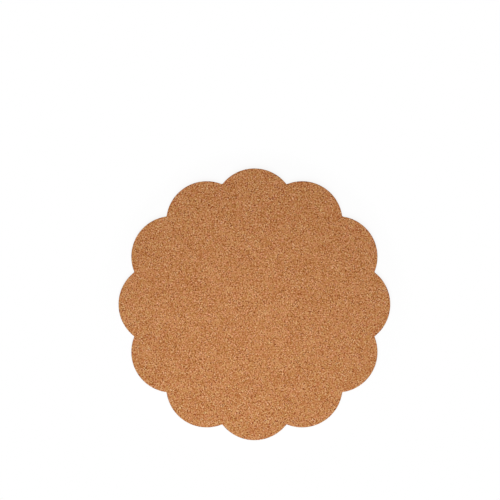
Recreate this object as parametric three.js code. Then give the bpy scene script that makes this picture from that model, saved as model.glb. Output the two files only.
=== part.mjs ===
// A round scalloped placemat: pressed sheets on a board, backed with cork and cut to one outline.
// It lies face down with its cork up. Millimetres, +Z up, origin in the middle of the serving face.
import * as THREE from 'three';

// Outline
const MAT_ACROSS = 380; // over two opposite lobe tips
const LOBE_COUNT = 12; // round lobes, the first with its tip on +X
const NOTCH_DEPTH = 16.25; // from the circle of the tips in to where two lobe arcs would cross
const NOTCH_ROOT_RADIUS = 1; // rounds the bottom of each notch

// Layers, from the serving face up
const OVERLAY_THICKNESS = 0.125;
const DECOR_THICKNESS = 0.25;
const BOARD_THICKNESS = 3;
const BALANCE_THICKNESS = 0.25;
const ADHESIVE_THICKNESS = 0.125;
const CORK_THICKNESS = 2;

// Lacquer round the board's cut edge, which the board is cut back for
const EDGE_SEAL_THICKNESS = 0.25;

// How finely the arcs are drawn
const STEPS_PER_LOBE = 16;
const STEPS_PER_NOTCH = 3;

// Heights where the layers meet
const DECOR_BASE = OVERLAY_THICKNESS;
const BOARD_BASE = DECOR_BASE + DECOR_THICKNESS;
const BALANCE_BASE = BOARD_BASE + BOARD_THICKNESS;
const ADHESIVE_BASE = BALANCE_BASE + BALANCE_THICKNESS;
const CORK_BASE = ADHESIVE_BASE + ADHESIVE_THICKNESS;

// A lobe is the arc through its tip and through the two points where it would cross its neighbours.
const LOBE_PITCH = (2 * Math.PI) / LOBE_COUNT;
const HALF_PITCH = LOBE_PITCH / 2;
const TIP_RADIUS = MAT_ACROSS / 2;
const NOTCH_RADIUS = TIP_RADIUS - NOTCH_DEPTH;
const HALF_CHORD = NOTCH_RADIUS * Math.sin(HALF_PITCH);
const ARC_RISE = TIP_RADIUS - NOTCH_RADIUS * Math.cos(HALF_PITCH);
const LOBE_RADIUS = (HALF_CHORD ** 2 + ARC_RISE ** 2) / (2 * ARC_RISE);

// Centres of the lobe arcs, and of the small root arcs that touch two lobes from outside
const LOBE_CENTRE = TIP_RADIUS - LOBE_RADIUS;
const ALONG_NOTCH = LOBE_CENTRE * Math.cos(HALF_PITCH);
const ACROSS_NOTCH = LOBE_CENTRE * Math.sin(HALF_PITCH);
const ROOT_REACH = Math.sqrt((LOBE_RADIUS + NOTCH_ROOT_RADIUS) ** 2 - ACROSS_NOTCH ** 2);
const ROOT_CENTRE = ALONG_NOTCH + ROOT_REACH;
const ROOT_HALF_ANGLE = Math.atan2(ACROSS_NOTCH, ROOT_REACH);
const LOBE_HALF_ANGLE = ROOT_HALF_ANGLE + HALF_PITCH;

function polar(radius, angle) {
  return new THREE.Vector2(radius * Math.cos(angle), radius * Math.sin(angle));
}

// The mat's outline, moved in by inset. Lobes shrink and roots grow about their own centres.
function outlinePoints(inset) {
  const points = [];
  for (let lobe = 0; lobe < LOBE_COUNT; lobe += 1) {
    const tip = lobe * LOBE_PITCH;
    const lobeCentre = polar(LOBE_CENTRE, tip);
    for (let step = 0; step <= STEPS_PER_LOBE; step += 1) {
      const turn = LOBE_HALF_ANGLE * ((2 * step) / STEPS_PER_LOBE - 1);
      points.push(polar(LOBE_RADIUS - inset, tip + turn).add(lobeCentre));
    }
    const notch = tip + HALF_PITCH;
    const rootCentre = polar(ROOT_CENTRE, notch);
    for (let step = 1; step < STEPS_PER_NOTCH; step += 1) {
      const turn = ROOT_HALF_ANGLE * (1 - (2 * step) / STEPS_PER_NOTCH);
      points.push(polar(NOTCH_ROOT_RADIUS + inset, notch + Math.PI + turn).add(rootCentre));
    }
  }
  return points;
}

function sheetMaterial(color, roughness) {
  return new THREE.MeshStandardMaterial({ color, roughness, metalness: 0 });
}

// A layer is cut one unit thick and stretched, so that it ends exactly where the next one starts.
function layer(name, shape, base, thickness, material) {
  const geometry = new THREE.ExtrudeGeometry(shape, { depth: 1, bevelEnabled: false });
  const mesh = new THREE.Mesh(geometry, material);
  mesh.name = name;
  mesh.position.z = base;
  mesh.scale.z = thickness;
  return mesh;
}

const fullShape = new THREE.Shape(outlinePoints(0));
const boardShape = new THREE.Shape(outlinePoints(EDGE_SEAL_THICKNESS));
const sealShape = new THREE.Shape(outlinePoints(0));
sealShape.holes.push(new THREE.Path(outlinePoints(EDGE_SEAL_THICKNESS)));

const overlayFilm = sheetMaterial(0xf2eee4, 0.3);
const decorPaper = sheetMaterial(0xe9e1d1, 0.6);
const fibreboard = sheetMaterial(0x8a6644, 0.8);
const edgeLacquer = sheetMaterial(0x6b4a30, 0.4);
const kraftPaper = sheetMaterial(0xa67f55, 0.85);
const adhesive = sheetMaterial(0xd8c9a3, 0.5);
const cork = sheetMaterial(0xbb7f51, 0.9);

const placemat = new THREE.Group();
placemat.add(
  layer('clear_overlay', fullShape, 0, OVERLAY_THICKNESS, overlayFilm),
  layer('decor_sheet', fullShape, DECOR_BASE, DECOR_THICKNESS, decorPaper),
  layer('core_board', boardShape, BOARD_BASE, BOARD_THICKNESS, fibreboard),
  layer('edge_seal', sealShape, BOARD_BASE, BOARD_THICKNESS, edgeLacquer),
  layer('balance_sheet', fullShape, BALANCE_BASE, BALANCE_THICKNESS, kraftPaper),
  layer('adhesive_film', fullShape, ADHESIVE_BASE, ADHESIVE_THICKNESS, adhesive),
  layer('cork_backing', fullShape, CORK_BASE, CORK_THICKNESS, cork),
);

export default placemat;
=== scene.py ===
"""The cork-backed placemat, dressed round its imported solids.

The mat lies face down with its cork up. Lengths are in metres.
"""
import math
from typing import NamedTuple

import bpy
import numpy as np
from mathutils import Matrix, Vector
from mathutils.geometry import delaunay_2d_cdt


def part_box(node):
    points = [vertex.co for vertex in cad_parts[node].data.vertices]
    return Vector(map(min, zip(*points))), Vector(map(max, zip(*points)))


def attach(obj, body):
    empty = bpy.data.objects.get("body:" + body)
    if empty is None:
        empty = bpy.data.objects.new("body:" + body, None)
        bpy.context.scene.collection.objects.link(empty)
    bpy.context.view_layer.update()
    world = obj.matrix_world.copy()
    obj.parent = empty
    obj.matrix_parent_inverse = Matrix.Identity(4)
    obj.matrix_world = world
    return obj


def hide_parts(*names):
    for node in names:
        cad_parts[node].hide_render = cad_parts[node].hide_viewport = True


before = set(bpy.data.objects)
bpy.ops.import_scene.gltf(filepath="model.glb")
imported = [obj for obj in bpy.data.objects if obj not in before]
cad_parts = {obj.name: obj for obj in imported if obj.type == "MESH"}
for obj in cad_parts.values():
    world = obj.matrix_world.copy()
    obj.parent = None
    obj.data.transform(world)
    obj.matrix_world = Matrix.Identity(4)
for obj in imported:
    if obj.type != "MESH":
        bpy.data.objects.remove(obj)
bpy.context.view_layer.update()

MM = 0.001

# Outline, as the solids have it
LOBE_COUNT = 12
NOTCH_DEPTH = 16.25 * MM  # from the circle of the tips in to where two lobe arcs would cross
NOTCH_ROOT_RADIUS = 1 * MM
TIP_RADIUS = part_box("cork_backing")[1].x

LOBE_PITCH = 2 * math.pi / LOBE_COUNT
HALF_PITCH = LOBE_PITCH / 2
NOTCH_RADIUS = TIP_RADIUS - NOTCH_DEPTH
HALF_CHORD = NOTCH_RADIUS * math.sin(HALF_PITCH)
ARC_RISE = TIP_RADIUS - NOTCH_RADIUS * math.cos(HALF_PITCH)
LOBE_RADIUS = (HALF_CHORD**2 + ARC_RISE**2) / (2 * ARC_RISE)
LOBE_CENTRE = TIP_RADIUS - LOBE_RADIUS
ACROSS_NOTCH = LOBE_CENTRE * math.sin(HALF_PITCH)
ROOT_REACH = math.sqrt((LOBE_RADIUS + NOTCH_ROOT_RADIUS) ** 2 - ACROSS_NOTCH**2)
ROOT_CENTRE = LOBE_CENTRE * math.cos(HALF_PITCH) + ROOT_REACH
ROOT_HALF_ANGLE = math.atan2(ACROSS_NOTCH, ROOT_REACH)
LOBE_HALF_ANGLE = ROOT_HALF_ANGLE + HALF_PITCH
RIM_LENGTH = 2 * LOBE_COUNT * (LOBE_HALF_ANGLE * LOBE_RADIUS + ROOT_HALF_ANGLE * NOTCH_ROOT_RADIUS)

# Cork granules: flat chips, each of a few triangles between scattered corners
SEED = 12
CORNER_SPACING = 1.2 * MM
CORNER_JITTER = 0.34  # share of the spacing that a corner strays from its place
RIM_MARGIN = 0.55 * CORNER_SPACING  # strip along the rim that is kept free of other corners
RIM_STEPS_PER_LOBE = 200  # steps of the path that places round the rim are measured along
RIM_STEPS_PER_NOTCH = 20
INSIDE_BORDER = 1  # tells the triangulation to keep only what lies inside its border
SAME_PLACE = 1e-6  # millimetres within which it takes two corners for one
TRIANGLES_PER_GRANULE = (2, 3, 4, 6)
GRANULE_SHARES = (0.2, 0.35, 0.33, 0.12)  # shares of the granules that want each of those counts
TONE_SPREAD = 0.228  # standard deviation of the granules' tones
DARK_LEAN = 0.1  # how much further dark granules stray from the mean than pale ones
NEIGHBOUR_PUSH = 0.68  # how far a granule's tone is pushed away from that of its neighbours
NO_SEAM = 1.0  # in place of a distance to a seam, where a side lies inside a granule
FACE_RELIEF = 0.025 * MM
GAP_SHARE = 0.07  # share of the corners where the granules leave a pinhole
GAP_DEPTH = 0.12 * MM
CORK_ARRIS = 0.1 * MM  # worn edge of the cork
CUT_ROUGHNESS = 0.05 * MM  # how far the cut wall strays
WALL_ROWS = 1  # rows of corners inside the wall

# Cork finish: how large each feature is, and how far it moves the tone
DRIFT_SIZE = 14 * MM
DRIFT_TONE = 0.19
SANDING_SIZES = (330 * MM, 3.8 * MM, 330 * MM)
SANDING_TONE = 0.13
MOTTLE_SIZE = 0.66 * MM
MOTTLE_TONE = 0.4
CELL_SIZE = 0.2 * MM
CELL_TONE = 0.35
WAVER_SIZE = 0.43 * MM
WAVER_REACH = 0.55 * MM  # strip that a seam's line strays over
SEAM_CORE = 0.02 * MM  # distance from that line up to which the seam is darkest
SEAM_REACH = 0.12 * MM  # distance at which its dark ends
SEAM_FRAY = 0.16 * MM  # how far the mottling moves those two
SEAM_TONE = 0.16
PINHOLE_EDGE = 0.55  # where a pinhole starts, on the way from the corners round it to its own
PINHOLE_CORE = 0.9  # where it is darkest
PINHOLE_FRAY = 0.6  # how far the mottling moves those two
# Painted shade: how much the pinholes are darkened, standing in for the shade in their pits
PINHOLE_PAINTED_SHADE = 0.25
# Painted shade: how much the rim and the cut wall are darkened, in place of the shade that falls on the edge
CUT_EDGE_PAINTED_SHADE = 0.12
ROSE_SIZE = 3.8 * MM
ROSE_PATCHES = 1.5  # how strongly patches of cork differ in hue
ROSE_GRANULES = 0.35  # how strongly single granules do
CORK_GRAIN_DEPTH = 0.06 * MM

# Other finishes: how large their features are, along the mat's three axes where they are stretched
FILM_CLOUD_SIZE = 22 * MM
FILM_FIBRE_SIZES = (3.8 * MM, 1.1 * MM, 2.5 * MM)
FILM_PEBBLE_SIZE = 0.66 * MM
FILM_PEBBLE_DEPTH = 0.02 * MM
PAPER_FIBRE_SIZES = (2.4 * MM, 2.4 * MM, 0.17 * MM)
PAPER_FIBRE_DEPTH = 0.02 * MM
PAPER_CLOUD_SIZE = 11 * MM
CREAM_ROUGHNESS = 0.6
KRAFT_ROUGHNESS = 0.8
BOARD_FLAKE_SIZES = (4.5 * MM, 4.5 * MM, 0.29 * MM)
BOARD_FLAKE_DEPTH = 0.05 * MM
BOARD_SPECK_SIZES = (0.66 * MM, 0.66 * MM, 0.2 * MM)
LACQUER_STREAK_SIZES = (6.2 * MM, 6.2 * MM, 0.31 * MM)
LACQUER_PIT_SIZES = (1.1 * MM, 1.1 * MM, 0.33 * MM)
LACQUER_PIT_DEPTH = 0.04 * MM
GLUE_CLOUD_SIZE = 3.3 * MM
GLUE_BUBBLE_SIZE = 0.38 * MM
GLUE_BUBBLE_DEPTH = 0.03 * MM

# The map that the cork's colours are baked through: the face fills it, the rest sits in its corners
MAP_MARGIN = 8 * MM
MAP_CORNER_COUNT = 4
MAP_CORNER_SIDE = 0.15  # as a share of the map's
STRIP_COUNT = 2 * LOBE_COUNT  # the wall is cut into half lobes, shared out among the corners
STRIP_PITCH = 0.02
STRIP_END = 0.005
STRIP_SCALE = 6.0  # map widths to a metre of the wall's height
GLUED_PLACE = (0.075, 0.135)  # the glued side is one plain tone, so a small disc of the map is enough
GLUED_RADIUS = 0.0105

# Cut sheets
STEPS_PER_LOBE = 40
STEPS_PER_NOTCH = 6
FILM_ARRIS = 0.05 * MM
ARRIS_MIDDLE = 1 - math.sqrt(0.5)  # share of an arris that the middle of its round lies in from the edge
LACQUER_BULGE = 0.04 * MM
LACQUER_RINGS = 9
LACQUER_THICKNESS = 0.25 * MM
PAPER_STEP_BACK = 0.05 * MM
GLUE_STEP_BACK = 0.15 * MM
GLUE_WANDER = 0.06 * MM

# Picture: where the mat's middle lies in the frame, and how large its tips' circle is there
FRAME_PIXELS = 500
MIDDLE_PIXEL = (254.4, 304.3)
TIP_RADIUS_PIXELS = 135.9
LENS = 85.0  # millimetres, as the sensor
SENSOR = 36.0

# Light
WHITE = (1.0, 1.0, 1.0, 1.0)
SKY_COLOUR = (1.2, 1.0, 0.87, 1.0)
SKY_STRENGTH = 0.3
FRONT_LAMP_COLOUR = (0.87, 1.0, 1.09)
FRONT_LAMP_POWER = 16.7  # watts
FRONT_LAMP_SIZE = 1.2
FRONT_LAMP_PLACE = Vector((-0.17, -0.95, 1.15))
TOP_LAMP_COLOUR = (1.0, 1.0, 1.0)
TOP_LAMP_POWER = 0.76
TOP_LAMP_SIZE = 0.3
TOP_LAMP_PLACE = Vector((-0.015, -0.08, 0.5))

# Floor
FLOOR_DROP = 0.1 * MM
FLOOR_RADIUS = 8.0
FLOOR_SIDES = 96
FLOOR_COLOUR = (0.96, 0.96, 0.96, 1.0)
SHADE_SHARE = 0.1  # how much of the floor's white near the mat is lit, and so takes its shadow
SHADE_NEAR = 195 * MM  # distance from the middle up to which it is
SHADE_FAR = 225 * MM  # distance from which on none of it is


def srgb(red, green, blue):
    """A colour given as a screen shows it, from 0 to 255, as the linear colour that nodes take."""
    shares = [channel / 255 for channel in (red, green, blue)]
    linear = [s / 12.92 if s <= 0.04045 else ((s + 0.055) / 1.055) ** 2.4 for s in shares]
    return (*linear, 1.0)


# Colours of the finishes, each at its place on a scale from the darkest tone, 0, to the palest, 1
MID_TONE = 0.5
CORK_TONES = (
    (0.00, srgb(122, 54, 10)),
    (0.20, srgb(151, 81, 27)),
    (0.50, srgb(189, 125, 72)),
    (0.80, srgb(213, 160, 112)),
    (1.00, srgb(228, 183, 136)),
)
CORK_ROSE = (0.055, -0.16, 0.15)  # shares by which rosy cork differs in its red, green and blue
FILM_TONES = ((0.2, srgb(232, 224, 207)), (0.8, srgb(246, 241, 230)))
CREAM_TONES = ((0.2, srgb(206, 192, 166)), (0.8, srgb(232, 222, 202)))
KRAFT_TONES = ((0.2, srgb(132, 96, 62)), (0.8, srgb(184, 146, 102)))
BOARD_TONES = ((0.15, srgb(92, 62, 38)), (0.85, srgb(160, 120, 82)))
LACQUER_TONES = ((0.15, srgb(84, 55, 34)), (0.85, srgb(140, 100, 66)))
GLUE_TONES = ((0.2, srgb(150, 112, 66)), (0.8, srgb(205, 174, 122)))


class Value:
    """An output of a node. Where it is a number, an operator on it adds a Math node."""

    def __init__(self, nodes, socket):
        self.nodes = nodes
        self.socket = socket

    def __add__(self, other):
        return self.nodes.math("ADD", self, other)

    def __radd__(self, other):
        return self.nodes.math("ADD", other, self)

    def __sub__(self, other):
        return self.nodes.math("SUBTRACT", self, other)

    def __rsub__(self, other):
        return self.nodes.math("SUBTRACT", other, self)

    def __mul__(self, other):
        return self.nodes.math("MULTIPLY", self, other)

    def __rmul__(self, other):
        return self.nodes.math("MULTIPLY", other, self)


class Nodes:
    """The nodes of a material or of the world."""

    def __init__(self, owner):
        owner.use_nodes = True
        self.tree = owner.node_tree
        self.tree.nodes.clear()

    def node(self, kind, settings=None, sockets=None, output=0):
        """An output of a new node. Its settings are set first, then its sockets' values or links."""
        made = self.tree.nodes.new("ShaderNode" + kind)
        for key, value in (settings or {}).items():
            if key == "stops":
                self.set_stops(made.color_ramp, value)
            else:
                setattr(made, key, value)
        for key, value in (sockets or {}).items():
            if isinstance(value, Value):
                self.tree.links.new(value.socket, made.inputs[key])
            else:
                made.inputs[key].default_value = value
        return Value(self, made.outputs[output] if made.outputs else None)

    def set_stops(self, ramp, stops):
        """Give a ramp its stops, each a place and a colour."""
        while len(ramp.elements) < len(stops):
            ramp.elements.new(1.0)
        for element, (place, colour) in zip(ramp.elements, stops):
            element.position = place
            element.color = colour

    def math(self, operation, first, second=0.0):
        """What a Math node makes of one or two numbers."""
        return self.node("Math", {"operation": operation}, {0: first, 1: second})

    def between(self, value, low, high):
        """0 below low, 1 above high, and smooth from one to the other."""
        settings = {"interpolation_type": "SMOOTHSTEP"}
        return self.node("MapRange", settings, {"Value": value, "From Min": low, "From Max": high})

    def place(self):
        """Coordinates in the mat's frame."""
        return self.node("TexCoord", output="Object")

    def noise(self, size, detail=2.0, roughness=0.5):
        """Noise from -0.5 to 0.5. Its size is one length, or three along the mat's axes."""
        sizes = tuple(np.broadcast_to(size, 3))
        scaled = self.node("VectorMath", {"operation": "DIVIDE"}, {0: self.place(), 1: sizes})
        sockets = {"Vector": scaled, "Scale": 1.0, "Detail": detail, "Roughness": roughness}
        return self.node("TexNoise", None, sockets) - 0.5

    def attribute(self, name, output="Fac"):
        """What a mesh keeps under a name."""
        return self.node("Attribute", {"attribute_name": name}, output=output)

    def parts(self, vector):
        """The three numbers of a vector."""
        outputs = self.node("SeparateXYZ", None, {0: vector}).socket.node.outputs
        return [Value(self, socket) for socket in outputs]

    def ramp(self, value, stops):
        """The colour that a tone has among stops."""
        return self.node("ValToRGB", {"stops": stops}, {"Fac": value})

    def bump(self, height, depth, strength):
        """A normal from heights, which count in units of depth."""
        return self.node("Bump", None, {"Height": height, "Distance": depth, "Strength": strength})

    def surface(self, sockets):
        """A principled shader, straight to the output."""
        shader = self.node("BsdfPrincipled", None, sockets)
        self.node("OutputMaterial", None, {"Surface": shader})


# Finishes


def finish(name):
    """A new material, and its nodes."""
    material = bpy.data.materials.new(name)
    return material, Nodes(material)


def wavering_seams(nodes):
    """The tone of the granule that holds a place, and how far the place is from the nearest seam.

    A seam strays from the straight side of a triangle. Where it has strayed past a place, that place
    belongs to the granule across the side. Seen from that granule the seam strays the other way, so
    the sign of the difference in tone gives both granules the same line.
    """
    tone = nodes.attribute("granule_tone")
    sides = nodes.attribute("granule_seam", "Vector")
    beyond = nodes.attribute("tone_beyond", "Vector")
    waver = nodes.noise(WAVER_SIZE, detail=1.0) * WAVER_REACH
    shade = tone
    distance = NO_SEAM
    for side, other in zip(nodes.parts(sides), nodes.parts(beyond)):
        margin = side - waver * nodes.math("SIGN", tone - other)
        crossed = nodes.math("LESS_THAN", margin, 0.0)
        shade = nodes.node("Mix", None, {"Factor": crossed, "A": shade, "B": other})
        distance = nodes.math("MINIMUM", distance, nodes.math("ABSOLUTE", margin))
    return shade, distance


def rosy(nodes, colour, granule):
    """The cork's colour, here rosier and there more olive, by patches and a little by granules.

    No two granules have quite the same tone, so the tone stands for the granule.
    """
    chance = nodes.node("TexWhiteNoise", {"noise_dimensions": "1D"}, {"W": granule}) - 0.5
    rosiness = nodes.noise(ROSE_SIZE, detail=1.0) * ROSE_PATCHES + chance * ROSE_GRANULES
    rose = nodes.node("VectorMath", {"operation": "SCALE"}, {0: CORK_ROSE, "Scale": rosiness})
    return nodes.node("VectorMath", {"operation": "MULTIPLY_ADD"}, {0: colour, 1: rose, 2: colour})


def cork_finish():
    """Sanded agglomerated cork: a tone for each granule, mottling inside it, dark seams, pinholes darkened
    with painted shade, and painted shade along the rim and cut wall.
    """
    material, nodes = finish("sanded_cork")
    granule, distance = wavering_seams(nodes)
    drift = nodes.noise(DRIFT_SIZE)
    sanding = nodes.noise(SANDING_SIZES)
    mottle = nodes.noise(MOTTLE_SIZE, roughness=0.6)
    cells = nodes.noise(CELL_SIZE, detail=1.0)
    seam = 1 - nodes.between(distance + mottle * SEAM_FRAY, SEAM_CORE, SEAM_REACH)
    gap = nodes.attribute("granule_gap") + mottle * PINHOLE_FRAY
    pinhole = nodes.between(gap, PINHOLE_EDGE, PINHOLE_CORE)
    shade = granule + drift * DRIFT_TONE + sanding * SANDING_TONE
    shade = shade + mottle * MOTTLE_TONE + cells * CELL_TONE
    # the seams' dark is their own colour; the pinholes' dark is painted shade in their pits
    shade = shade - seam * SEAM_TONE - pinhole * PINHOLE_PAINTED_SHADE
    # painted shade along the rim and down the cut wall
    shade = shade - nodes.attribute("cut_edge") * CUT_EDGE_PAINTED_SHADE
    height = cells * 0.4 + mottle * 0.5 - seam * 0.5 - pinhole
    nodes.surface({
        "Base Color": rosy(nodes, nodes.ramp(shade, CORK_TONES), granule),
        "Roughness": 0.86 + mottle * 0.12 + pinhole * 0.08,
        "Specular IOR Level": 0.25,
        "Normal": nodes.bump(height, CORK_GRAIN_DEPTH, strength=0.6),
    })
    return material


def film_finish():
    """The serving face: a clear satin film over cream paper, pressed with a fine pebble."""
    material, nodes = finish("satin_film")
    cloud = nodes.noise(FILM_CLOUD_SIZE, detail=3.0)
    fibre = nodes.noise(FILM_FIBRE_SIZES, detail=3.0, roughness=0.65)
    pebble = nodes.noise(FILM_PEBBLE_SIZE, detail=1.0)
    nodes.surface({
        "Base Color": nodes.ramp(MID_TONE + cloud * 0.5 + fibre * 0.6, FILM_TONES),
        "Roughness": 0.3 + pebble * 0.1 + cloud * 0.06,
        "Coat Weight": 0.35,
        "Coat Roughness": 0.22,
        "Normal": nodes.bump(pebble, FILM_PEBBLE_DEPTH, strength=0.25),
    })
    return material


def paper_finish(name, tones, roughness):
    """Resin-soaked paper, seen on its cut edge: fine fibres along the sheet."""
    material, nodes = finish(name)
    fibre = nodes.noise(PAPER_FIBRE_SIZES, detail=4.0, roughness=0.6)
    cloud = nodes.noise(PAPER_CLOUD_SIZE)
    nodes.surface({
        "Base Color": nodes.ramp(MID_TONE + fibre * 0.9 + cloud * 0.4, tones),
        "Roughness": roughness + fibre * 0.15,
        "Normal": nodes.bump(fibre, PAPER_FIBRE_DEPTH, strength=0.4),
    })
    return material


def fibreboard_finish():
    """Pressed brown wood fibre in thin flakes that lie flat."""
    material, nodes = finish("pressed_fibre")
    flake = nodes.noise(BOARD_FLAKE_SIZES, detail=4.0, roughness=0.65)
    speck = nodes.noise(BOARD_SPECK_SIZES, detail=1.0)
    nodes.surface({
        "Base Color": nodes.ramp(MID_TONE + flake * 0.9 + speck * 0.4, BOARD_TONES),
        "Roughness": 0.85 + speck * 0.1,
        "Normal": nodes.bump(flake, BOARD_FLAKE_DEPTH, strength=0.5),
    })
    return material


def lacquer_finish():
    """Satin brown lacquer that has sunk into the board's sanded edge."""
    material, nodes = finish("edge_lacquer")
    streak = nodes.noise(LACQUER_STREAK_SIZES, detail=4.0, roughness=0.6)
    pit = nodes.between(nodes.noise(LACQUER_PIT_SIZES), 0.14, 0.24)
    nodes.surface({
        "Base Color": nodes.ramp(MID_TONE + streak * 0.9 - pit * 0.3, LACQUER_TONES),
        "Roughness": 0.42 + streak * 0.12 + pit * 0.3,
        "Normal": nodes.bump(streak * 0.6 - pit * 0.8, LACQUER_PIT_DEPTH, strength=0.5),
    })
    return material


def glue_finish():
    """Dried adhesive, amber and a little glossy, with tiny bubbles."""
    material, nodes = finish("dried_glue")
    cloud = nodes.noise(GLUE_CLOUD_SIZE, detail=3.0)
    bubble = nodes.between(nodes.noise(GLUE_BUBBLE_SIZE, detail=0.0), 0.12, 0.22)
    nodes.surface({
        "Base Color": nodes.ramp(MID_TONE + cloud * 0.8 + bubble * 0.3, GLUE_TONES),
        "Roughness": 0.4 + cloud * 0.2,
        "Normal": nodes.bump(cloud + bubble * 0.5, GLUE_BUBBLE_DEPTH, strength=0.4),
    })
    return material


# Outline and pieces


def polar(radius, angle):
    """Points at a radius and an angle from the middle."""
    return np.stack([radius * np.cos(angle), radius * np.sin(angle)], -1)


def outline(inset, lobe_steps, notch_steps):
    """Points along the outline from the first notch on, anticlockwise, moved in by inset."""
    points = []
    lobe_turns = np.linspace(-LOBE_HALF_ANGLE, LOBE_HALF_ANGLE, lobe_steps + 1)
    root_turns = np.linspace(ROOT_HALF_ANGLE, -ROOT_HALF_ANGLE, notch_steps + 1)
    for tip in np.arange(LOBE_COUNT) * LOBE_PITCH:
        notch = tip - HALF_PITCH
        root = polar(NOTCH_ROOT_RADIUS + inset, notch + math.pi + root_turns) + polar(ROOT_CENTRE, notch)
        lobe = polar(LOBE_RADIUS - inset, tip + lobe_turns) + polar(LOBE_CENTRE, tip)
        points += [root[:-1], lobe[:-1]]
    points = np.concatenate(points)
    return np.roll(points, -(notch_steps // 2), axis=0)


def mesh_piece(name, points, faces, material, node):
    """A piece on the mat, hung on the root body in place of a solid, which is hidden."""
    mesh = bpy.data.meshes.new(name)
    mesh.from_pydata(points, [], faces)
    mesh.update()
    mesh.materials.append(material)
    piece = bpy.data.objects.new(name, mesh)
    bpy.context.scene.collection.objects.link(piece)
    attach(piece, "root")
    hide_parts(node)
    return piece


# Cork


def inside_rim(corners, margin):
    """Which corners lie inside the outline by a margin."""
    angle = np.arctan2(corners[:, 1], corners[:, 0])
    lobe = polar(LOBE_CENTRE, np.round(angle / LOBE_PITCH) * LOBE_PITCH)
    in_lobe = np.linalg.norm(corners - lobe, axis=1) < LOBE_RADIUS - margin
    return in_lobe | (np.linalg.norm(corners, axis=1) < NOTCH_RADIUS - margin)


def jitter(rng, shape):
    """How far corners stray, as shares of their spacing."""
    return rng.uniform(-CORNER_JITTER, CORNER_JITTER, shape)


def scatter_corners(rng):
    """Corners of the granules inside the rim: a triangular grid, shaken so that no row shows."""
    across = np.arange(-TIP_RADIUS, TIP_RADIUS, CORNER_SPACING)
    up = np.arange(-TIP_RADIUS, TIP_RADIUS, CORNER_SPACING * math.sqrt(3) / 2)
    x, y = np.meshgrid(across, up)
    x[1::2] += CORNER_SPACING / 2
    corners = np.stack([x.ravel(), y.ravel()], -1)
    corners += jitter(rng, corners.shape) * CORNER_SPACING
    return corners[inside_rim(corners, RIM_MARGIN)]


def walk_outline(places, inset):
    """Points on the outline, moved in by inset. A place is a share of the way round from the first notch."""
    full, moved = (outline(depth, RIM_STEPS_PER_LOBE, RIM_STEPS_PER_NOTCH) for depth in (0.0, inset))
    full, moved = (np.concatenate([path, path[:1]]) for path in (full, moved))
    share = np.concatenate([[0.0], np.cumsum(np.linalg.norm(np.diff(full, axis=0), axis=1))])
    share /= share[-1]
    return np.stack([np.interp(places, share, moved[:, axis]) for axis in (0, 1)], -1)


def rim_places(rng):
    """Places of the granules' corners round the rim, as many on each lobe, with one in each notch."""
    on_lobe = round(RIM_LENGTH / LOBE_COUNT / CORNER_SPACING)
    steps = np.arange(LOBE_COUNT * on_lobe)
    shake = jitter(rng, len(steps)) * (steps % on_lobe > 0)
    return (steps + shake) / len(steps)


def triangulate(corners, border):
    """Triangles between the corners, inside the border that a loop of them makes."""
    sides = list(zip(border, border[1:] + border[:1]))
    places = [Vector(place) for place in (corners / MM).tolist()]
    return np.array(delaunay_2d_cdt(places, sides, [], INSIDE_BORDER, SAME_PLACE)[2])


def across_sides(triangles):
    """For each triangle, the triangle across each of its sides, or -1 where there is none."""
    start = triangles.ravel().tolist()
    end = np.roll(triangles, -1, axis=1).ravel().tolist()
    owner = {side: i // 3 for i, side in enumerate(zip(start, end))}
    return np.array([owner.get(side, -1) for side in zip(end, start)]).reshape(-1, 3)


def join_granules(corners, triangles, beyond, rng):
    """The granule of each triangle. It grows from one triangle to the free ones that lie nearest to it."""
    middles = [complex(*place) for place in corners[triangles].mean(1)]
    beyond = beyond.tolist()
    wanted = rng.choice(TRIANGLES_PER_GRANULE, len(triangles), p=GRANULE_SHARES).tolist()
    granule = [-1] * len(triangles)
    count = 0
    for first in rng.permutation(len(triangles)).tolist():
        if granule[first] >= 0:
            continue
        granule[first] = count
        last = first
        reach = []
        for _ in range(wanted[first] - 1):
            reach = [t for t in reach + beyond[last] if t >= 0 and granule[t] < 0]
            if not reach:
                break
            last = min(reach, key=lambda t: abs(middles[t] - middles[first]))
            granule[last] = count
        count += 1
    return np.array(granule)


def granule_tones(granule, beyond, rng):
    """A tone for each granule, pushed away from its neighbours' so that like tones don't gather."""
    count = granule.max() + 1
    tones = rng.normal(0.0, 1.0, count)
    here = np.repeat(granule, 3)
    there = np.where(beyond.ravel() >= 0, granule[beyond.ravel()], here)
    apart = here != there
    total = np.bincount(here[apart], tones[there[apart]], count)
    sides = np.maximum(np.bincount(here[apart], minlength=count), 1)
    tones -= NEIGHBOUR_PUSH * total / sides
    tones /= tones.std()
    tones -= DARK_LEAN * (tones**2 - 1)
    return MID_TONE + TONE_SPREAD * tones


def seam_distances(corners, triangles, seam):
    """For each corner of each triangle, its distance from the three sides, where those are seams."""
    start = corners[triangles]
    along = np.roll(start, -1, axis=1) - start
    area = np.abs(along[:, 0, 0] * along[:, 1, 1] - along[:, 0, 1] * along[:, 1, 0])
    height = area[:, None] / np.linalg.norm(along, axis=2)
    distances = np.where(seam, 0.0, NO_SEAM)[:, None, :].repeat(3, axis=1)
    for side in range(3):
        facing = distances[:, (side + 2) % 3, side]
        facing[:] = np.where(seam[:, side], height[:, side], NO_SEAM)
    return distances


class Grain(NamedTuple):
    """What the triangles of a net keep for their finish."""

    tones: np.ndarray  # one for each triangle, that of its granule
    beyond: np.ndarray  # the tones across its three sides
    seams: np.ndarray  # for each of its corners, the distances from those sides


def grain(corners, triangles, rng):
    """The grain of a net of triangles."""
    beyond = across_sides(triangles)
    granule = join_granules(corners, triangles, beyond, rng)
    tones = granule_tones(granule, beyond, rng)[granule]
    tones_beyond = np.where(beyond >= 0, tones[beyond], tones[:, None])
    seam = (beyond < 0) | (granule[beyond] != granule[:, None])
    return Grain(tones, tones_beyond, seam_distances(corners, triangles, seam))


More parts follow.
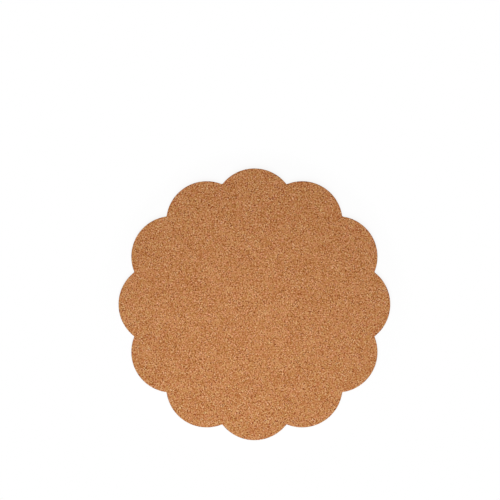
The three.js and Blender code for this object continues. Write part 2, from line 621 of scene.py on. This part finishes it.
def wall_net(places, rng, low, high):
    """The worn edge and cut wall, unrolled: corners as a way along the rim and a height, and triangles.

    The rows at the top, the worn edge and the foot come first. Their last column repeats the first.
    """
    count = len(places)
    columns = count + 1
    along = np.append(places, 1.0) * RIM_LENGTH
    rows = [np.column_stack([along, np.full(columns, height)]) for height in (high, high - CORK_ARRIS, low)]
    for row in range(WALL_ROWS):
        height = low + (high - CORK_ARRIS - low) * (row + 1) / (WALL_ROWS + 1)
        inner = np.column_stack([np.arange(0.5, count) / count * RIM_LENGTH, np.full(count, height)])
        rows.append(inner + jitter(rng, inner.shape) * CORNER_SPACING)
    net = np.concatenate(rows)
    top, edge, foot = np.arange(3 * columns).reshape(3, columns).tolist()
    return net, triangulate(net, foot + edge[-1:] + top[::-1] + edge[:1])


def wrap_wall(net, columns, rng):
    """Points round the mat for the wall net, without its top row, which is the face's rim."""
    edge_and_foot = net[columns : 3 * columns].reshape(2, columns, 2)[:, :-1].reshape(-1, 2)
    unrolled = np.concatenate([edge_and_foot, net[3 * columns :]])
    ring = walk_outline(unrolled[:, 0] / RIM_LENGTH, 0.0)
    outward = ring / np.linalg.norm(ring, axis=1)[:, None]
    stray = rng.uniform(-CUT_ROUGHNESS, CUT_ROUGHNESS, (len(ring), 1))
    stray[: len(edge_and_foot)] = 0.0
    return np.column_stack([ring + outward * stray, unrolled[:, 1]])


def weld_wall(corner_count, columns, first):
    """The mesh's point for each corner of the wall net. The wall's own points start at first."""
    count = columns - 1
    rim = np.append(np.arange(count), 0)
    inner = np.arange(corner_count - 3 * columns)
    return np.concatenate([rim, first + rim, first + count + rim, first + 2 * count + inner])


def keep(mesh, name, domain, values):
    """Values of a mesh's faces or points, kept under a name that its finish asks for."""
    attribute = mesh.attributes.new(name, "FLOAT", domain)
    attribute.data.foreach_set("value", np.concatenate(values).astype(np.float32))


def keep_triples(mesh, name, domain, values):
    """Values that come in threes, kept the same way."""
    attribute = mesh.attributes.new(name, "FLOAT_VECTOR", domain)
    attribute.data.foreach_set("vector", np.concatenate([v.ravel() for v in values]).astype(np.float32))


def keep_grain(mesh, *grains):
    """The grains of a mesh's faces, in the order of those faces."""
    tones, beyond, seams = zip(*grains)
    keep(mesh, "granule_tone", "FACE", tones)
    keep_triples(mesh, "tone_beyond", "FACE", beyond)
    keep_triples(mesh, "granule_seam", "CORNER", seams)


def map_cork(mesh, face_places, wall_places, count):
    """The map for baking: the face fills it, and the wall and the glued side sit in its corners."""
    face = 0.5 + face_places / (2 * TIP_RADIUS + 2 * MAP_MARGIN)
    along = wall_places[:, :, 0] / RIM_LENGTH * STRIP_COUNT
    height = (wall_places[:, :, 1] - wall_places[:, :, 1].min()) * STRIP_SCALE
    strip = np.floor(along.mean(1, keepdims=True)).astype(int)
    row, corner = np.divmod(strip, MAP_CORNER_COUNT)
    top, right = np.divmod(corner, 2)
    across = STRIP_END + (along - strip) * (MAP_CORNER_SIDE - 2 * STRIP_END)
    up = STRIP_END + row * STRIP_PITCH + height
    far = 1 - MAP_CORNER_SIDE
    wall = np.stack([across + right * far, up + top * far], -1).reshape(-1, 2)
    glued = GLUED_PLACE + polar(GLUED_RADIUS, np.arange(count) / count * 2 * math.pi)
    places = np.concatenate([face, wall, glued])
    mesh.uv_layers.new(name="OFBake").data.foreach_set("uv", places.ravel())


def cork_sheet():
    """The cork: granules on its face, cut granules round its wall, and a plain glued side."""
    rng = np.random.default_rng(SEED)
    low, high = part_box("cork_backing")
    places = rim_places(rng)
    count = len(places)
    columns = count + 1
    corners = np.concatenate([walk_outline(places, CORK_ARRIS), scatter_corners(rng)])
    triangles = triangulate(corners, list(range(count)))
    face_grain = grain(corners, triangles, rng)
    inside = np.arange(len(corners)) >= count
    gaps = inside * (rng.random(len(corners)) < GAP_SHARE)
    relief = inside * (rng.normal(0.0, FACE_RELIEF, len(corners)) - gaps * GAP_DEPTH)
    net, wall_triangles = wall_net(places, rng, low.z, high.z)
    wall_grain = grain(net, wall_triangles, rng)
    wall = wrap_wall(net, columns, rng)
    welded = weld_wall(len(net), columns, len(corners))
    foot = welded[2 * columns : 3 * columns - 1]
    points = np.concatenate([np.column_stack([corners, high.z + relief]), wall])
    faces = triangles.tolist() + welded[wall_triangles].tolist() + [foot[::-1].tolist()]
    mesh = mesh_piece("cork_sheet", points, faces, cork_finish(), "cork_backing").data
    plain_grain = Grain(np.full(1, MID_TONE), np.full(3, MID_TONE), np.full(3 * count, NO_SEAM))
    keep_grain(mesh, face_grain, wall_grain, plain_grain)
    keep(mesh, "granule_gap", "POINT", [gaps, np.zeros(len(wall))])
    # 1 on the rim and the cut wall, where the painted edge shade goes
    keep(mesh, "cut_edge", "POINT", [~inside, np.ones(len(wall))])
    map_cork(mesh, corners[triangles].reshape(-1, 2), net[wall_triangles], count)
    mesh.shade_smooth()


# Sheets under the cork


def ring_piece(name, rings, material, node, capped=True):
    """Rings of points joined in order: closed with flat ends, or else back to the first ring."""
    count = len(rings[0])
    faces = []
    pairs = list(zip(range(len(rings)), range(1, len(rings))))
    if not capped:
        pairs.append((len(rings) - 1, 0))
    for lower, upper in pairs:
        for i in range(count):
            j = (i + 1) % count
            faces.append((lower * count + i, lower * count + j, upper * count + j, upper * count + i))
    smooth = [True] * len(faces)
    if capped:
        faces.append(tuple(range(count))[::-1])
        faces.append(tuple(range((len(rings) - 1) * count, len(rings) * count)))
        smooth += [False, False]
    piece = mesh_piece(name, np.concatenate(rings), faces, material, node)
    piece.data.polygons.foreach_set("use_smooth", smooth)


def outline_ring(inset, height):
    """A ring of points along the outline, moved in by inset, at a height."""
    ring = outline(inset, STEPS_PER_LOBE, STEPS_PER_NOTCH)
    return np.column_stack([ring, np.full(len(ring), height)])


def wear_film():
    """The serving face's film, with a round worn edge below."""
    low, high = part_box("clear_overlay")
    rings = [
        outline_ring(FILM_ARRIS, low.z),
        outline_ring(ARRIS_MIDDLE * FILM_ARRIS, low.z + ARRIS_MIDDLE * FILM_ARRIS),
        outline_ring(0.0, low.z + FILM_ARRIS),
        outline_ring(0.0, high.z),
    ]
    ring_piece("wear_film", rings, film_finish(), "clear_overlay")


def decor_paper():
    """The paper under the film, cut flush."""
    low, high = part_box("decor_sheet")
    rings = [outline_ring(0.0, low.z), outline_ring(0.0, high.z)]
    cream = paper_finish("cream_paper", CREAM_TONES, CREAM_ROUGHNESS)
    ring_piece("decor_paper", rings, cream, "decor_sheet")


def board():
    """The board keeps its solid and gets a finish."""
    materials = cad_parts["core_board"].data.materials
    materials.clear()
    materials.append(fibreboard_finish())


def lacquer_band():
    """The lacquer round the board's edge, which bulges a little between the two papers."""
    low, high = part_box("edge_seal")
    outer = [
        outline_ring(LACQUER_BULGE * (2 * share - 1) ** 2, low.z + (high.z - low.z) * share)
        for share in np.linspace(0.0, 1.0, LACQUER_RINGS)
    ]
    inner = [outline_ring(LACQUER_THICKNESS, high.z), outline_ring(LACQUER_THICKNESS, low.z)]
    ring_piece("lacquer_band", outer + inner, lacquer_finish(), "edge_seal", capped=False)


def balance_paper():
    """The paper on the board's other side, a little back from the edge."""
    low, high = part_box("balance_sheet")
    rings = [outline_ring(PAPER_STEP_BACK, low.z), outline_ring(PAPER_STEP_BACK, high.z)]
    kraft = paper_finish("kraft_paper", KRAFT_TONES, KRAFT_ROUGHNESS)
    ring_piece("balance_paper", rings, kraft, "balance_sheet")


def glue_line():
    """The adhesive under the cork, whose edge wanders in a shallow groove."""
    rng = np.random.default_rng(SEED + 1)
    low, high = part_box("adhesive_film")
    rings = [outline_ring(GLUE_STEP_BACK, low.z), outline_ring(GLUE_STEP_BACK, high.z)]
    outward = rings[0][:, :2] / np.linalg.norm(rings[0][:, :2], axis=1)[:, None]
    wander = rng.uniform(-GLUE_WANDER, GLUE_WANDER, len(outward))
    for ring in rings:
        ring[:, :2] += outward * wander[:, None]
    ring_piece("glue_line", rings, glue_finish(), "adhesive_film")


# Floor, light and camera


def seen_rays(nodes):
    """1 for the rays that see the stage straight or in a mirror or glass, 0 for those that gather light."""
    kinds = ("Is Camera Ray", "Is Glossy Ray", "Is Transmission Ray")
    straight, mirrored, through = (nodes.node("LightPath", output=kind) for kind in kinds)
    return nodes.math("MAXIMUM", nodes.math("MAXIMUM", straight, mirrored), through)


def floor():
    """A white floor. Near the mat a share of its white is lit, so that it takes the mat's shadow."""
    bpy.ops.mesh.primitive_circle_add(
        vertices=FLOOR_SIDES, radius=FLOOR_RADIUS, fill_type="NGON", location=(0, 0, -FLOOR_DROP)
    )
    ground = bpy.context.object
    ground.name = "floor"
    material, nodes = finish("white_floor")
    distance = nodes.node("VectorMath", {"operation": "LENGTH"}, {0: nodes.place()}, output="Value")
    shade = SHADE_SHARE * (1 - nodes.between(distance, SHADE_NEAR, SHADE_FAR))
    lit = nodes.node("BsdfDiffuse", None, {"Color": FLOOR_COLOUR})
    white = nodes.node("Emission", None, {"Color": WHITE, "Strength": 1.0})
    share = seen_rays(nodes) * (1 - shade)
    mixed = nodes.node("MixShader", None, {0: share, 1: lit, 2: white})
    nodes.node("OutputMaterial", None, {"Surface": mixed})
    ground.data.materials.append(material)


def sky():
    """An even sky: white where it is seen, and a little warm in the light that it gives."""
    world = bpy.data.worlds.new("sky")
    bpy.context.scene.world = world
    nodes = Nodes(world)
    light = nodes.node("Background", None, {"Color": SKY_COLOUR, "Strength": SKY_STRENGTH})
    white = nodes.node("Background", None, {"Color": WHITE, "Strength": 1.0})
    mixed = nodes.node("MixShader", None, {0: seen_rays(nodes), 1: light, 2: white})
    nodes.node("OutputWorld", None, {"Surface": mixed})


def lamp(name, colour, power, size, place):
    """A soft square lamp that faces the mat."""
    light = bpy.data.lights.new(name, "AREA")
    light.color = colour
    light.energy = power
    light.size = size
    placed = bpy.data.objects.new(name, light)
    placed.location = place
    placed.rotation_euler = (-place).to_track_quat("-Z", "Y").to_euler()
    bpy.context.scene.collection.objects.link(placed)


def camera():
    """Straight down on the cork, as the picture looks at it."""
    pixel = TIP_RADIUS / TIP_RADIUS_PIXELS
    height = FRAME_PIXELS * pixel * LENS / SENSOR
    half = FRAME_PIXELS / 2
    data = bpy.data.cameras.new("camera")
    data.lens = LENS
    data.sensor_width = SENSOR
    placed = bpy.data.objects.new("camera", data)
    placed.location = (
        (half - MIDDLE_PIXEL[0]) * pixel,
        (MIDDLE_PIXEL[1] - half) * pixel,
        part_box("cork_backing")[1].z + height,
    )
    bpy.context.scene.collection.objects.link(placed)
    bpy.context.scene.camera = placed


camera()
wear_film()
decor_paper()
board()
lacquer_band()
balance_paper()
glue_line()
cork_sheet()
floor()
sky()
lamp("front_lamp", FRONT_LAMP_COLOUR, FRONT_LAMP_POWER, FRONT_LAMP_SIZE, FRONT_LAMP_PLACE)
lamp("top_lamp", TOP_LAMP_COLOUR, TOP_LAMP_POWER, TOP_LAMP_SIZE, TOP_LAMP_PLACE)
bpy.context.scene.view_settings.view_transform = "Standard"
